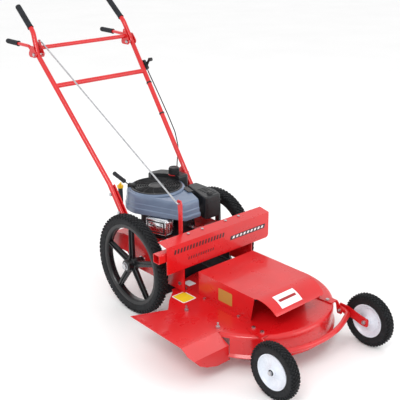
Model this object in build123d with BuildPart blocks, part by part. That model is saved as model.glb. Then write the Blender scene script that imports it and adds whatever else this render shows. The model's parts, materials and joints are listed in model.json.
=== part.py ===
from build123d import *
import math
import os

# Self-propelled rotary brush mower, millimetres.
# The origin is on the ground below the middle of the rear axle.
# The mower travels towards -Y, +Z is up and the discharge side is -X.

os.makedirs("parts", exist_ok=True)

# ---- driving dimensions ----
rear_wheel_r = 254.0
rear_tyre_w = 54.0
rear_track = 572.0
axle_z = rear_wheel_r
axle_r = 10.0
front_wheel_r = 127.0
front_tyre_w = 45.0
front_track = 624.0
wheelbase = 988.0

deck_y = -548.0
deck_r = 376.0
deck_top = 190.0
deck_lip = 85.0
sheet = 3.0
blade_r = 355.0

hood_half = 178.0
hood_top = 307.0
hood_rear = -369.0
hood_bend = -730.0
hood_lip_y = -846.0
hood_lip_z = 257.0

dash_half = 331.0
dash_y = -324.0
dash_low = 323.0
dash_fold = 458.0

side_x = 222.0
side_t = 6.0
engine_plate_z = 310.0
engine_y = 157.0
engine_turn = 16.7

handle_r = 12.7
handle_wall = 2.0
handle_x = side_x + side_t / 2 + handle_r
bail_pivot = (302.0, 731.0, 1190.0)

blade_belt_z = 272.0
drive_belt_z = 290.0
gearbox_x = 130.0
gearbox_y = -48.0

running = 0.05
gap = 0.4


def save(part, name):
    part.label = name
    export_step(part, f"parts/{name}.step")
    return part


def mirrored(part):
    with BuildPart() as other:
        mirror(part, about=Plane.YZ)
    return other.part


def both_sides(part):
    with BuildPart() as pair:
        add(part)
        mirror(part, about=Plane.YZ)
    return pair.part


def bolt_set(places, shank_r, head_af, head_h, nut=True):
    """Hex bolts, one for each (point, direction, grip length): the head lies on the point."""
    with BuildPart() as bolts:
        for point, direction, grip in places:
            seat = Plane(origin=point, z_dir=direction)
            with BuildSketch(seat):
                RegularPolygon(head_af / 2, 6, major_radius=False)
            extrude(amount=head_h)
            with BuildSketch(seat):
                Circle(shank_r)
            extrude(amount=-(grip + (head_h * 1.6 if nut else 0)))
            if nut:
                with BuildSketch(seat.offset(-grip)):
                    RegularPolygon(head_af / 2, 6, major_radius=False)
                extrude(amount=-head_h)
    return bolts.part


def tube_along(points, radii, outer, wall=0.0):
    """Round tube along straight runs joined by arcs."""
    with BuildPart() as tube:
        with BuildLine() as path:
            if radii:
                FilletPolyline(*points, radius=radii)
            else:
                Line(*points)
        start = Plane(origin=path.line @ 0, z_dir=path.line % 0)
        with BuildSketch(start):
            Circle(outer)
            if wall:
                Circle(outer - wall, mode=Mode.SUBTRACT)
        sweep(path=path.line)
    return tube.part


# ---- deck: one pressed pan with a flared lip ----
deck_plane = Plane.XZ.offset(-deck_y)
deck_axis = Axis((0, deck_y, 0), (0, 0, 1))
rim_r = 18.0
spindle_hole_r = 31.0
hood_bolt_xy = [(x, y) for x in (-192, 192) for y in (-425, -650)]
bracket_bolt_xy = [(-196, -292), (196, -292)]
yoke_bolt_xy = [(x, y) for x in (-216, 216) for y in (-768, -820)]
stud_xy = [(-328, -455), (-328, -663)]
small_bolt_r = 4.0
frame_bolt_r = 5.0
stud_r = 5.0
stud_neck_r = 4.5
fit_gap = 0.2

with BuildPart() as deck_shell:
    with BuildSketch(deck_plane):
        with BuildLine():
            Polyline((spindle_hole_r, deck_top - sheet), (spindle_hole_r, deck_top), (deck_r - rim_r, deck_top))
            CenterArc((deck_r - rim_r, deck_top - rim_r), rim_r, 90, -90)
            Polyline(
                (deck_r, deck_top - rim_r),
                (deck_r, deck_lip + 14),
                (deck_r + 9, deck_lip + 3),
                (deck_r + 9, deck_lip),
                (deck_r + 6, deck_lip),
                (deck_r - sheet, deck_lip + 11),
                (deck_r - sheet, deck_top - rim_r),
            )
            CenterArc((deck_r - rim_r, deck_top - rim_r), rim_r - sheet, 0, 90)
            Line((deck_r - rim_r, deck_top - sheet), (spindle_hole_r, deck_top - sheet))
        make_face()
    revolve(axis=deck_axis)
    # flat wing beside the rear wheel, level with the top
    with BuildSketch(Plane.XY.offset(deck_top)):
        with BuildLine():
            Polyline(
                (-197, -250), (-240, -244), (-254, -268), (-319, -322), (-381, -388), (-330, -470), (-197, -400),
                close=True,
            )
        make_face()
    extrude(amount=-sheet)
    # discharge opening through the skirt on the -X side
    with Locations((-deck_r, -566, (deck_lip - 15 + deck_top - rim_r) / 2)):
        Box(150, 338, deck_top - rim_r - deck_lip + 15, mode=Mode.SUBTRACT)
    with BuildSketch(Plane.XY.offset(deck_top)):
        with Locations(*hood_bolt_xy):
            Circle(small_bolt_r + fit_gap)
        with Locations(*bracket_bolt_xy, *yoke_bolt_xy):
            Circle(frame_bolt_r + fit_gap)
        with Locations(*stud_xy):
            Circle(stud_r + fit_gap)
        with Locations((0, deck_y)):
            with PolarLocations(44, 4, 45):
                Circle(frame_bolt_r + fit_gap)
    extrude(amount=-sheet * 2, mode=Mode.SUBTRACT)
save(deck_shell.part, "deck_shell")

# ---- discharge deflector: folded plate bolted over the opening ----
flap_fold_y = -684.0
flap_knee = (-733.0, 138.0)
flap_low = 64.0
with BuildPart() as discharge_deflector:
    with BuildSketch(Plane.XY.offset(deck_top)):
        with BuildLine():
            Polyline(
                (-300, flap_fold_y), (-300, -425), (-388, -392), (-545, -325), (-552, flap_fold_y),
                close=True,
            )
        make_face()
    extrude(amount=sheet)
    with BuildSketch(Plane.YZ.offset(-552)):
        with BuildLine():
            Polyline(
                (flap_fold_y, deck_top + sheet),
                (flap_fold_y - 1.2, deck_top + sheet),
                (flap_knee[0], flap_knee[1]),
                (flap_knee[0], flap_low),
                (flap_knee[0] + sheet, flap_low),
                (flap_knee[0] + sheet, flap_knee[1] + 1.2),
                (flap_fold_y, deck_top),
                close=True,
            )
        make_face()
    extrude(amount=232)
    # slanted outer edge of the flap
    with BuildSketch(Plane.XZ.offset(-flap_fold_y - 5)):
        with BuildLine():
            Polyline(
                (-560, deck_top), (-552, deck_top), (-543, 158), (-530, 143), (-493, 103), (-455, 82),
                (-396, flap_low), (-396, flap_low - 10), (-560, flap_low - 10),
                close=True,
            )
        make_face()
    extrude(amount=80, mode=Mode.SUBTRACT)
    # the flap stops against the round skirt of the deck, and the plate lies on its top
    with BuildSketch(Plane.XY.offset(deck_top)):
        with Locations((0, deck_y)):
            Circle(deck_r + gap)
    extrude(amount=-120, mode=Mode.SUBTRACT)
    with BuildSketch(Plane.XY.offset(deck_top + sheet)):
        with Locations(*stud_xy):
            Circle(stud_r + fit_gap)
    extrude(amount=-sheet, mode=Mode.SUBTRACT)
save(discharge_deflector.part, "discharge_deflector")

# ---- deflector studs with their nuts, threaded ends free above ----
stud_top = deck_top + sheet + 26
with BuildPart() as deflector_studs:
    for x, y in stud_xy:
        with BuildSketch(Plane.XY.offset(deck_top - sheet - 4)):
            with Locations((x, y)):
                Circle(9)
        extrude(amount=4)
        with BuildSketch(Plane.XY.offset(deck_top - sheet)):
            with Locations((x, y)):
                Circle(stud_neck_r)
        extrude(amount=3 * sheet)
        with BuildSketch(Plane.XY.offset(deck_top + 2 * sheet)):
            with Locations((x, y)):
                Circle(stud_r)
        extrude(amount=stud_top - deck_top - 2 * sheet)
        with BuildSketch(Plane.XY.offset(deck_top + sheet)):
            with Locations((x, y)):
                RegularPolygon(8.5, 6, major_radius=False)
        extrude(amount=9)
save(deflector_studs.part, "deflector_studs")

# ---- belt hood: folded cover, open at both ends, its front bent down ----
hood_t = 2.5
hood_foot = 26.0
front_drop = hood_top - hood_lip_z
with BuildPart() as belt_hood:
    with BuildSketch(Plane.XZ.offset(-hood_rear)):
        with BuildLine():
            Polyline(
                (-hood_half - hood_foot, deck_top), (-hood_half - hood_foot, deck_top + hood_t),
                (-hood_half, deck_top + hood_t), (-hood_half, hood_top), (hood_half, hood_top),
                (hood_half, deck_top + hood_t), (hood_half + hood_foot, deck_top + hood_t),
                (hood_half + hood_foot, deck_top), (hood_half - hood_t, deck_top),
                (hood_half - hood_t, hood_top - hood_t), (-hood_half + hood_t, hood_top - hood_t),
                (-hood_half + hood_t, deck_top),
                close=True,
            )
        make_face()
    extrude(amount=hood_rear - hood_bend)
    # the front flap bends down in one easy curve
    with BuildSketch(Plane.YZ.offset(-hood_half)):
        with BuildLine():
            top = ThreePointArc(
                (hood_bend, hood_top), (hood_bend - 66, hood_top - 13), (hood_lip_y, hood_lip_z)
            )
            low = ThreePointArc(
                (hood_lip_y + 1.5, hood_lip_z - 2), (hood_bend - 65, hood_top - 15.5),
                (hood_bend, hood_top - hood_t),
            )
            Line(top @ 1, low @ 0)
            Line(low @ 1, top @ 0)
        make_face()
    extrude(amount=2 * hood_half)
    # the flap's corners are cut back and rounded
    with BuildSketch(Plane.XY.offset(hood_top + 5)):
        with BuildLine():
            FilletPolyline(
                (-hood_half - 1, hood_bend), (-hood_half + 8, hood_bend - 10),
                (-hood_half + 22, hood_lip_y - 2), (hood_half - 22, hood_lip_y - 2),
                (hood_half - 8, hood_bend - 10), (hood_half + 1, hood_bend),
                radius=14,
            )
            Polyline(
                (hood_half + 1, hood_bend), (hood_half + 30, hood_bend), (hood_half + 30, hood_lip_y - 40),
                (-hood_half - 30, hood_lip_y - 40), (-hood_half - 30, hood_bend), (-hood_half - 1, hood_bend),
            )
        make_face()
    extrude(amount=-80, mode=Mode.SUBTRACT)
    # the side walls lean back from the fold to the deck
    with BuildSketch(Plane.YZ.offset(-hood_half - 40)):
        with BuildLine():
            Polyline(
                (hood_bend - 1, hood_top - 8), (hood_bend + 18, deck_top - 1), (hood_bend - 1, deck_top - 1),
                close=True,
            )
        make_face()
    extrude(amount=2 * hood_half + 80, mode=Mode.SUBTRACT)
    with BuildSketch(Plane.XY.offset(deck_top + hood_t)):
        with Locations(*hood_bolt_xy):
            Circle(small_bolt_r + fit_gap)
    extrude(amount=-hood_t, mode=Mode.SUBTRACT)
save(belt_hood.part, "belt_hood")

# ---- dash shield: front panel with a top flange folded back ----
dash_bolt_x = (-164, -77, 74, 162)
dash_flange_y = -264.0
dash_flange_z = 469.0
dash_mid_y = -282.0
with BuildPart() as dash_shield:
    with BuildSketch(Plane.YZ.offset(-dash_half)):
        with BuildLine():
            Polyline(
                (dash_y - sheet, dash_low), (dash_y - sheet, dash_fold),
                (dash_flange_y, dash_flange_z), (dash_flange_y, dash_flange_z - sheet),
                (dash_y, dash_fold - sheet), (dash_y, dash_low),
                close=True,
            )
        make_face()
    extrude(amount=2 * dash_half)
    panel_corners = dash_shield.edges().filter_by(Axis.Y).group_by(Axis.X)[-1]
    fillet(panel_corners.sort_by(Axis.Z)[0], radius=18)
    slope = math.degrees(math.atan2(dash_flange_z - dash_fold, dash_flange_y - dash_y + sheet))
    dash_bolt_z = dash_fold + (dash_mid_y - dash_y + sheet) * math.tan(math.radians(slope))
    dash_up = (0, -math.sin(math.radians(slope)), math.cos(math.radians(slope)))
    for x in dash_bolt_x:
        with BuildSketch(Plane(origin=(x, dash_mid_y, dash_bolt_z + 1), z_dir=dash_up)):
            Circle(small_bolt_r + fit_gap)
        extrude(amount=-8, mode=Mode.SUBTRACT)
save(dash_shield.part, "dash_shield")

# ---- square cross tube behind the dash ----
tube_y = (-320.0, -276.0)
tube_z = (385.0, 429.0)
with BuildPart() as dash_cross_tube:
    with BuildSketch(Plane.YZ.offset(-370)):
        with Locations(((tube_y[0] + tube_y[1]) / 2, (tube_z[0] + tube_z[1]) / 2)):
            RectangleRounded(44, 44, 5)
            RectangleRounded(38, 38, 3, mode=Mode.SUBTRACT)
    extrude(amount=690)
save(dash_cross_tube.part, "dash_cross_tube")

# ---- frame side plates, each with an arm that carries the handle ----
low_bolt = (143.0, 472.0)
top_bolt = (205.0, 552.0)
bearing_r = 23.5
with BuildPart() as side_plate:
    with BuildSketch(Plane.YZ.offset(side_x - side_t / 2)):
        with BuildLine():
            Polyline(
                (-318, 198), (64, 198), (124, 258), (290, 258), (290, 330), (150, 348),
                (78, 356), (246, 572), (214, 597), (30, 362), (-178, 352), (-240, tube_z[0]),
                (-318, tube_z[0]),
                close=True,
            )
        make_face()
        with Locations((0, axle_z)):
            Circle(bearing_r, mode=Mode.SUBTRACT)
        with Locations(low_bolt, top_bolt, (-292, 236)):
            Circle(frame_bolt_r + fit_gap, mode=Mode.SUBTRACT)
    extrude(amount=side_t)
save(both_sides(side_plate.part), "side_plates")

# ---- engine plate with turned-down edges ----
plate_half = side_x - side_t / 2
with BuildPart() as engine_plate:
    with BuildSketch(Plane.XZ.offset(-40)):
        with BuildLine():
            Polyline(
                (-plate_half, 275), (-plate_half, engine_plate_z), (plate_half, engine_plate_z),
                (plate_half, 275), (plate_half - 5, 275), (plate_half - 5, engine_plate_z - 5),
                (-plate_half + 5, engine_plate_z - 5), (-plate_half + 5, 275),
                close=True,
            )
        make_face()
    extrude(amount=-245)
    with BuildSketch(Plane.XY.offset(engine_plate_z)):
        with Locations((0, engine_y)):
            Circle(66)
            with PolarLocations(92, 3, 90 + engine_turn):
                Circle(small_bolt_r + fit_gap)
    extrude(amount=-6, mode=Mode.SUBTRACT)
save(engine_plate.part, "engine_plate")

# ---- brackets from the side plates down to the deck ----
with BuildPart() as deck_bracket:
    with BuildSketch(Plane.XZ.offset(270)):
        with BuildLine():
            Polyline(
                (plate_half, deck_top), (plate_half, 262), (plate_half - 5, 262),
                (plate_half - 5, deck_top + 5), (172, deck_top + 5), (172, deck_top),
                close=True,
            )
        make_face()
    extrude(amount=44)
    with BuildSketch(Plane.XY.offset(deck_top + 5)):
        with Locations(bracket_bolt_xy[1]):
            Circle(frame_bolt_r + fit_gap)
    extrude(amount=-5, mode=Mode.SUBTRACT)
    with BuildSketch(Plane.YZ.offset(plate_half)):
        with Locations((-292, 236)):
            Circle(frame_bolt_r + fit_gap)
    extrude(amount=-5, mode=Mode.SUBTRACT)
save(both_sides(deck_bracket.part), "deck_brackets")

# ---- front brackets on the deck and the yoke that carries the front wheels ----
bumper_r = 12.7
cheek_x = 244.0
cheek_t = 6.0
bumper_x = cheek_x + cheek_t + bumper_r
arm_x = bumper_x + bumper_r
arm_t = 6.0
pivot_yz = (-868.0, 151.0)
front_axle_yz = (-wheelbase, front_wheel_r)
front_axle_r = 6.0
with BuildPart() as front_bracket:
    with BuildSketch(Plane.XY.offset(deck_top)):
        with BuildLine():
            Polyline(
                (198, -744), (236, -744), (cheek_x + cheek_t, -790), (cheek_x + cheek_t, -850),
                (206, -850), close=True,
            )
        make_face()
        with Locations(*yoke_bolt_xy[2:]):
            Circle(frame_bolt_r + fit_gap, mode=Mode.SUBTRACT)
    extrude(amount=5)
    # outer cheek turned down to the yoke pivot
    with BuildSketch(Plane.YZ.offset(cheek_x)):
        with BuildLine():
            FilletPolyline(
                (-800, deck_top + 5), (-850, deck_top + 5), (-881, 164), (-881, 134), (-856, 134),
                (-846, 180), (-832, deck_top),
                radius=6,
            )
            Polyline((-832, deck_top), (-800, deck_top), (-800, deck_top + 5))
        make_face()
        with Locations(pivot_yz):
            Circle(frame_bolt_r + fit_gap, mode=Mode.SUBTRACT)
    extrude(amount=cheek_t)
save(both_sides(front_bracket.part), "front_brackets")

with BuildPart() as yoke_arm:
    with BuildSketch(Plane.YZ.offset(arm_x)):
        with BuildLine():
            FilletPolyline(
                (-846, 170), (-846, 132), (-930, 118), (-972, 106), (-1008, 106), (-1008, 144),
                (-962, 152), (-892, 170),
                radius=9,
            )
            Line((-892, 170), (-846, 170))
        make_face()
        with Locations(pivot_yz):
            Circle(frame_bolt_r + fit_gap, mode=Mode.SUBTRACT)
        with Locations(front_axle_yz):
            Circle(front_axle_r + fit_gap, mode=Mode.SUBTRACT)
    extrude(amount=arm_t)
save(both_sides(yoke_arm.part), "yoke_arms")

with BuildPart() as bumper_tube:
    with BuildLine() as bumper_path:
        FilletPolyline(
            (-bumper_x, -850, 153), (-bumper_x, -908, 147), (0, -1018, 140), (bumper_x, -908, 147),
            (bumper_x, -850, 153),
            radius=[40, 490, 40],
        )
    with BuildSketch(Plane(origin=bumper_path.line @ 0, z_dir=bumper_path.line % 0)):
        Circle(bumper_r)
        Circle(bumper_r - handle_wall, mode=Mode.SUBTRACT)
    sweep(path=bumper_path.line)
    for x in (-bumper_x, bumper_x):
        with BuildSketch(Plane.YZ.offset(x - bumper_r)):
            with Locations(pivot_yz):
                Circle(frame_bolt_r + fit_gap)
        extrude(amount=2 * bumper_r, mode=Mode.SUBTRACT)
save(bumper_tube.part, "bumper_tube")

# ---- handle: two bent tubes joined by a crossbar ----
grip_wall = 2.5
handle_points = [
    (handle_x, 119, 441),
    (240, 233, 602),
    bail_pivot,
    (288, 782, 1297),
    (285, 922, 1413),
]
handle_radii = [80, 90, 90]
handle_solid = tube_along(handle_points, handle_radii, handle_r)
with BuildPart() as handle_tube:
    add(tube_along(handle_points, handle_radii, handle_r, handle_wall))
    for y, z in (low_bolt, top_bolt, bail_pivot[1:]):
        with BuildSketch(Plane.YZ.offset(200)):
            with Locations((y, z)):
                Circle(frame_bolt_r + fit_gap)
        extrude(amount=140, mode=Mode.SUBTRACT)
save(both_sides(handle_tube.part), "handle_tubes")

crossbar_yz = (606.0, 1042.0)
with BuildPart() as handle_crossbar:
    with BuildSketch(Plane.YZ.offset(-284)):
        with Locations(crossbar_yz):
            Circle(handle_r)
            Circle(handle_r - handle_wall, mode=Mode.SUBTRACT)
    extrude(amount=568)
    add(handle_solid, mode=Mode.SUBTRACT)
    add(mirrored(handle_solid), mode=Mode.SUBTRACT)
save(handle_crossbar.part, "handle_crossbar")

grip_run = Vector(*handle_points[4]) - Vector(*handle_points[3])
grip_dir = grip_run.normalized()
grip_start = Vector(*handle_points[3]) + grip_dir * 28
grip_length = grip_run.length - 28
with BuildPart() as handle_grip:
    with BuildSketch(Plane(origin=grip_start, z_dir=grip_dir)):
        Circle(handle_r + grip_wall)
    extrude(amount=grip_length + 4)
    fillet(handle_grip.edges().filter_by(GeomType.CIRCLE), radius=2.4)
    with BuildSketch(Plane(origin=grip_start, z_dir=grip_dir)):
        Circle(handle_r)
    extrude(amount=grip_length, mode=Mode.SUBTRACT)
save(both_sides(handle_grip.part), "handle_grips")

# ---- drive bail: two hand levers on lugs, joined by a crossbar ----
bail_y, bail_z = bail_pivot[1:]
lug_t = 4.0
lug_in = 270.0
lug_out = 316.5
bail_bar_yz = (752.0, 1218.0)
bail_boss_yz = (771.0, 1188.0)
rod_eye_yz = (757.0, 1250.0)
bail_bar_r = 11.0
lever_r = 9.0
rod_r = 4.0
lever_points = [
    (299, *bail_boss_yz), (300, 812, 1222), (305, 900, 1224), (306, 1026, 1225),
]
with BuildPart() as bail_half:
    for x in (lug_in, lug_out):
        with BuildSketch(Plane.YZ.offset(x)):
            with Locations((bail_y, bail_z)):
                Circle(17)
            with Locations(bail_boss_yz, bail_bar_yz):
                Circle(15)
            if x == lug_in:
                with Locations(rod_eye_yz):
                    Circle(9)
            make_hull()
            with Locations((bail_y, bail_z)):
                Circle(frame_bolt_r + running, mode=Mode.SUBTRACT)
            if x == lug_in:
                with Locations(rod_eye_yz):
                    Circle(rod_r + running, mode=Mode.SUBTRACT)
        extrude(amount=lug_t)
    with BuildSketch(Plane.YZ.offset(lug_in + lug_t)):
        with Locations(bail_boss_yz):
            Circle(10)
    extrude(amount=lug_out - lug_in - lug_t)
    with BuildSketch(Plane.YZ):
        with Locations(bail_bar_yz):
            Circle(bail_bar_r)
    extrude(amount=lug_in)
    add(tube_along(lever_points, [30, 60], lever_r))
save(both_sides(bail_half.part), "drive_bail")

lever_dir = (Vector(*lever_points[3]) - Vector(*lever_points[2])).normalized()
lever_start = Vector(*lever_points[2]) + lever_dir * 12
with BuildPart() as bail_grip:
    with BuildSketch(Plane(origin=lever_start, z_dir=lever_dir)):
        Circle(13.5)
    extrude(amount=118)
    fillet(bail_grip.edges().filter_by(GeomType.CIRCLE), radius=3)
    with BuildSketch(Plane(origin=lever_start, z_dir=lever_dir)):
        Circle(lever_r)
    extrude(amount=(Vector(*lever_points[3]) - lever_start).length, mode=Mode.SUBTRACT)
save(both_sides(bail_grip.part), "bail_grips")

# ---- clutch post on the dash and the long rod that works it ----
post_x = -184.0
post_t = 6.0
post_pivot = (-248.0, 452.0)
post_hook = (-243.0, 612.0)
with BuildPart() as clutch_post:
    with BuildSketch(Plane.YZ.offset(post_x)):
        with BuildLine():
            FilletPolyline(
                (-260, 438), (-236, 438), (-236, 560), (-232, 600), (-224, 616), (-232, 628),
                (-252, 628), (-260, 612), (-260, 438.5),
                radius=4,
            )
            Line((-260, 438.5), (-260, 438))
        make_face()
        with Locations(post_pivot):
            Circle(frame_bolt_r + running, mode=Mode.SUBTRACT)
        with Locations(post_hook):
            Circle(rod_r + 2, mode=Mode.SUBTRACT)
    extrude(amount=post_t)
save(clutch_post.part, "clutch_post")

# ---- brackets on the cross tube: two under the dash flange, one beside the post ----
hanger_t = 6.0
post_bracket_t = 4.0
with BuildPart() as dash_brackets:
    for x in (-120, 118):
        with BuildSketch(Plane.YZ.offset(x)):
            with BuildLine():
                Polyline(
                    (-316, tube_z[1]), (-316, dash_fold - sheet - 2), (-280, dash_fold + 3),
                    (-280, tube_z[1]),
                    close=True,
                )
            make_face()
        extrude(amount=hanger_t)
    with BuildSketch(Plane.YZ.offset(post_x + post_t + gap)):
        with BuildLine():
            Polyline(
                (-316, tube_z[1]), (-232, tube_z[1]), (-232, 464), (-258, 464), (-270, 456),
                (-316, 450), close=True,
            )
        make_face()
        with Locations(post_pivot):
            Circle(frame_bolt_r + fit_gap, mode=Mode.SUBTRACT)
    extrude(amount=post_bracket_t)
save(dash_brackets.part, "dash_brackets")

rod_top_x = -262.0
rod_low_x = -192.0
rod_top = (rod_top_x, *rod_eye_yz)
rod_low = (rod_low_x, *post_hook)
with BuildPart() as control_rod:
    add(
        tube_along(
            [(-lug_in - lug_t, *rod_eye_yz), rod_top, rod_low, (post_x - 0.6, *post_hook)],
            [5, 4.5], rod_r,
        )
    )
save(control_rod.part, "control_rod")

# ---- throttle control on the left tube and its cable ----
throttle_x = 305.0
throttle_yz = (627.0, 1068.0)
with BuildPart() as throttle_housing:
    with BuildSketch(Plane.YZ.offset(throttle_x)):
        with Locations(Location(throttle_yz, 50)):
            RectangleRounded(58, 26, 8)
    extrude(amount=14)
    with BuildSketch(Plane.YZ.offset(throttle_x + 14)):
        with Locations(throttle_yz):
            Circle(4.0)
    extrude(amount=12)
save(throttle_housing.part, "throttle_housing")

with BuildPart() as throttle_lever:
    with BuildSketch(Plane.YZ.offset(throttle_x + 14 + gap)):
        with Locations(throttle_yz):
            Circle(10)
        with Locations((throttle_yz[0] - 26, throttle_yz[1] + 32)):
            Circle(6)
        make_hull()
        with Locations(throttle_yz):
            Circle(4.0 + running, mode=Mode.SUBTRACT)
    extrude(amount=4)
    with BuildSketch(Plane.YZ.offset(throttle_x + 14 + gap)):
        with Locations((throttle_yz[0] - 26, throttle_yz[1] + 32)):
            Circle(10)
    extrude(amount=20)
    fillet(throttle_lever.faces().sort_by(Axis.X)[-1].edges(), radius=3)
save(throttle_lever.part, "throttle_lever")

cable_r = 3.0
cable_points = [
    (312, 605, 1042),
    (309, 585, 1020),
    (304, 500, 921),
    (297, 415, 822),
    (290, 350, 742),
    (273, 305, 672),
    (240, 275, 615),
    (224, 262, 556),
    (224, 226, 500),
    (212, 182, 462),
    (186, 120, 450),
]
with BuildPart() as throttle_cable:
    add(tube_along(cable_points, [120, 400, 400, 150, 110, 110, 80, 70, 60], cable_r))
save(throttle_cable.part, "throttle_cable")

# ---- engine: vertical shaft, its cylinder turned towards the front left ----
engine = Plane(
    origin=(0, engine_y, engine_plate_z),
    x_dir=(math.cos(math.radians(engine_turn)), math.sin(math.radians(engine_turn)), 0),
    z_dir=(0, 0, 1),
)
crank_r = 12.5
filler_xy = (-161.0, 251.0)
filler_top = 555.0
with BuildPart() as engine_crankcase:
    with BuildSketch(engine):
        with Locations((0, -6)):
            RectangleRounded(206, 204, 30)
        with PolarLocations(92, 3, 90):
            Circle(small_bolt_r + fit_gap, mode=Mode.SUBTRACT)
    extrude(amount=12)
    with BuildSketch(engine.offset(12)):
        RectangleRounded(136, 140, 30)
    extrude(amount=96)
    with BuildSketch(engine.offset(108)):
        Circle(40)
    extrude(amount=30)
    with BuildSketch(engine):
        Circle(crank_r + running)
    extrude(amount=140, mode=Mode.SUBTRACT)
    # oil filler neck at the rear corner
    add(tube_along([(-50, 214, 350), (*filler_xy, 366), (*filler_xy, filler_top)], [14], 12))
    with BuildSketch(Plane.XY.offset(filler_top)):
        with Locations(filler_xy):
            Circle(8)
    extrude(amount=-150, mode=Mode.SUBTRACT)
save(engine_crankcase.part, "engine_crankcase")

fin_count = 9
with BuildPart() as engine_cylinder:
    with BuildSketch(engine.offset(18)):
        with Locations((0, -121.5)):
            Rectangle(84, 103)
    extrude(amount=84)
    for index in range(fin_count):
        with BuildSketch(engine.offset(12)):
            with Locations((0, -90 - 9.5 * index)):
                Rectangle(122, 3)
        extrude(amount=98)
    with BuildSketch(engine.offset(16)):
        with Locations((0, -184)):
            RectangleRounded(118, 22, 6)
    extrude(amount=90)
    # plug hole in the middle of the head
    with Locations(engine.location * Location((0, -195, 62), (90, 0, 0))):
        Hole(7, 16)
save(engine_cylinder.part, "engine_cylinder")

with BuildPart() as spark_plug:
    plug_seat = Plane(engine.location * Location((0, -195, 62), (90, 0, 0)))
    with BuildSketch(plug_seat.offset(-14)):
        Circle(7)
    extrude(amount=14)
    with BuildSketch(plug_seat):
        RegularPolygon(10, 6)
    extrude(amount=9)
    with BuildSketch(plug_seat.offset(9)):
        Circle(6)
    extrude(amount=14)
    with BuildSketch(plug_seat.offset(18)):
        Circle(11)
    extrude(amount=16)
save(spark_plug.part, "spark_plug")

with BuildPart() as muffler:
    with BuildSketch(engine.offset(44)):
        with Locations((-118, -100)):
            RectangleRounded(70, 136, 24)
    extrude(amount=88)
    fillet(muffler.edges().group_by(Axis.Z)[-1], radius=14)
    fillet(muffler.edges().group_by(Axis.Z)[0], radius=14)
    with BuildSketch(engine.offset(66)):
        with Locations((-72.4, -120)):
            Rectangle(22, 30)
    extrude(amount=26)
save(muffler.part, "muffler")

shroud_low = 446.0
shroud_top = 545.0
shroud_r = 158.0
shroud_xy = (-5.0, 160.0)
grille_r = 133.0
with BuildPart() as blower_housing:
    with BuildSketch(Plane.XY.offset(shroud_low)):
        with Locations(shroud_xy):
            Circle(shroud_r)
        with Locations((-33, -104), (52, -102)):
            Circle(16)
        make_hull()
    extrude(amount=shroud_top - shroud_low)
    fillet(blower_housing.edges().group_by(Axis.Z)[-1], radius=14)
    offset(amount=-3, openings=blower_housing.faces().sort_by(Axis.Z)[0])
    with BuildSketch(Plane.XY.offset(shroud_top)):
        with Locations((0, engine_y)):
            Circle(grille_r - 8)
    extrude(amount=-4, mode=Mode.SUBTRACT)
save(blower_housing.part, "blower_housing")

with BuildPart() as blower_grille:
    with BuildSketch(Plane.XY.offset(shroud_top)):
        with Locations((0, engine_y)):
            Circle(grille_r)
            for ring in (58, 76, 94, 112):
                for quarter in range(6):
                    with BuildLine(Plane.XY) as slot:
                        CenterArc((0, 0), ring, quarter * 60 + 6, 48)
                    with BuildSketch(mode=Mode.PRIVATE) as slot_shape:
                        trace(slot.line, 7)
                    add(slot_shape.sketch, mode=Mode.SUBTRACT)
    extrude(amount=9)
    # rope guide of the starter
    with BuildSketch(Plane.XY.offset(shroud_top)):
        with Locations(Location((-99, 239), 130)):
            RectangleRounded(44, 22, 8)
    extrude(amount=24)
save(blower_grille.part, "blower_grille")

with BuildPart() as flywheel:
    with BuildSketch(Plane.XY.offset(476)):
        with Locations((0, engine_y)):
            Circle(104)
            Circle(crank_r, mode=Mode.SUBTRACT)
    extrude(amount=14)
    for index in range(16):
        with BuildSketch(Plane.XY.offset(490)):
            with Locations(Location((0, engine_y), index * 22.5)):
                with Locations((82, 0)):
                    Rectangle(34, 3)
        extrude(amount=22)
save(flywheel.part, "flywheel")

air_box_low = 424.0
with BuildPart() as air_cleaner:
    with BuildSketch(Plane.XY.offset(air_box_low)):
        with BuildLine():
            FilletPolyline(
                (84, -128), (186, -128), (208, -60), (208, 84), (146, 84), radius=14, close=True
            )
        make_face()
    extrude(amount=116)
    fillet(air_cleaner.edges().group_by(Axis.Z)[-1], radius=8)
    with BuildSketch(Plane.XY.offset(shroud_low - 8)):
        with Locations(shroud_xy):
            Circle(shroud_r + 1)
    extrude(amount=120, mode=Mode.SUBTRACT)
save(air_cleaner.part, "air_cleaner")

with BuildPart() as carburettor:
    with BuildSketch(Plane.XY.offset(430)):
        with Locations((172, 101.5)):
            RectangleRounded(40, 34, 5)
    extrude(amount=44)
    with BuildSketch(Plane.XY.offset(430)):
        with Locations((128, 98)):
            Rectangle(50, 24)
    extrude(amount=12)
save(carburettor.part, "carburettor")

cap_xy = (150.0, 196.0)
tank_top = 572.0
with BuildPart() as fuel_tank:
    with BuildSketch(Plane.XY.offset(484)):
        with BuildLine():
            FilletPolyline(
                (205, 136), (205, 235), (150, 306), (60, 318), (60, 136), radius=20, close=True
            )
        make_face()
    extrude(amount=tank_top - 484)
    fillet(fuel_tank.edges().group_by(Axis.Z)[-1], radius=10)
    with BuildSketch(Plane.XY.offset(484)):
        with Locations(shroud_xy):
            Circle(shroud_r + 1.5)
    extrude(amount=shroud_top + 3 - 484, mode=Mode.SUBTRACT)
    with BuildSketch(Plane.XY.offset(484)):
        with Locations((0, engine_y)):
            Circle(grille_r + 3)
    extrude(amount=100, mode=Mode.SUBTRACT)
    with BuildSketch(Plane.XY.offset(tank_top)):
        with Locations(cap_xy):
            Circle(16)
    extrude(amount=14)
save(fuel_tank.part, "fuel_tank")

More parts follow.
